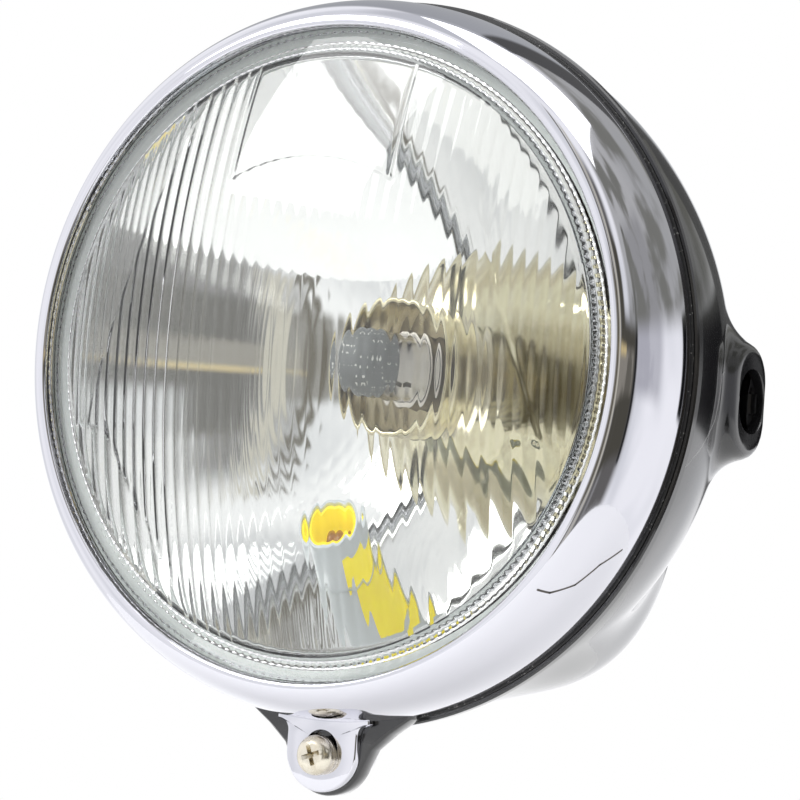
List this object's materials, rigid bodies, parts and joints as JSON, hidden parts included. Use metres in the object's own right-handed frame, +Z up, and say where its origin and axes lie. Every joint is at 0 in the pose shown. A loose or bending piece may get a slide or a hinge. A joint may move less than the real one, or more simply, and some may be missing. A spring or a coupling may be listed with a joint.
{
  "type": "motorcycle headlight",
  "caption": "Round motorcycle headlight with a black bowl on side bosses, a chrome rim held by one screw under it, a domed fluted glass, a mirror reflector and a halogen bulb.",
  "frame": {"origin": "midpoint between the two side mounting bosses, on their common axis", "axes": "-Y the way the lamp faces, +X towards one side boss, +Z up"},
  "size_m": [0.1828, 0.1368, 0.1996],
  "materials": {
    "bowl_black": "high gloss",
    "chrome_rim": "mirror",
    "lens_glass": "pressed, fluted",
    "mirror_coat": "vacuum coated",
    "black_rubber": "matt",
    "pale_rubber": "smooth silicone",
    "zinc_steel": "bright zinc",
    "screw_plate": "pale yellow zinc",
    "yellow_zinc": "yellow passivated",
    "quartz": "clear, grey cap",
    "nickel": "satin nickel",
    "filament": "drawn wire",
    "plug_plastic": "moulded",
    "sleeve_grey": "satin",
    "socket_yellow": "moulded"
  },
  "bodies": {
    "root": {"bowl": "bowl_black", "side_insert_right": "zinc_steel", "side_insert_left": "zinc_steel", "wire_grommet": "black_rubber", "rim": "chrome_rim", "rim_hook": "zinc_steel", "rim_seal": "black_rubber", "rim_screw": "screw_plate", "screw_washer": "screw_plate", "rim_nut": "zinc_steel", "lens": "lens_glass", "lens_seal": "pale_rubber", "reflector": "mirror_coat", "unit_clip_1": "zinc_steel", "unit_clip_2": "zinc_steel", "unit_clip_3": "zinc_steel", "unit_clip_4": "zinc_steel", "bulb_holder": "yellow_zinc", "bulb_base": "nickel", "bulb_glass": "quartz", "bulb_shield": "nickel", "bulb_filaments": "filament", "bulb_terminals": "yellow_zinc", "bulb_clip": "zinc_steel", "dust_boot": "black_rubber", "bulb_connector": "plug_plastic", "position_sleeve": "sleeve_grey", "position_socket": "socket_yellow", "position_bulb": "quartz", "position_contacts": "yellow_zinc"}
  },
  "joints": []
}
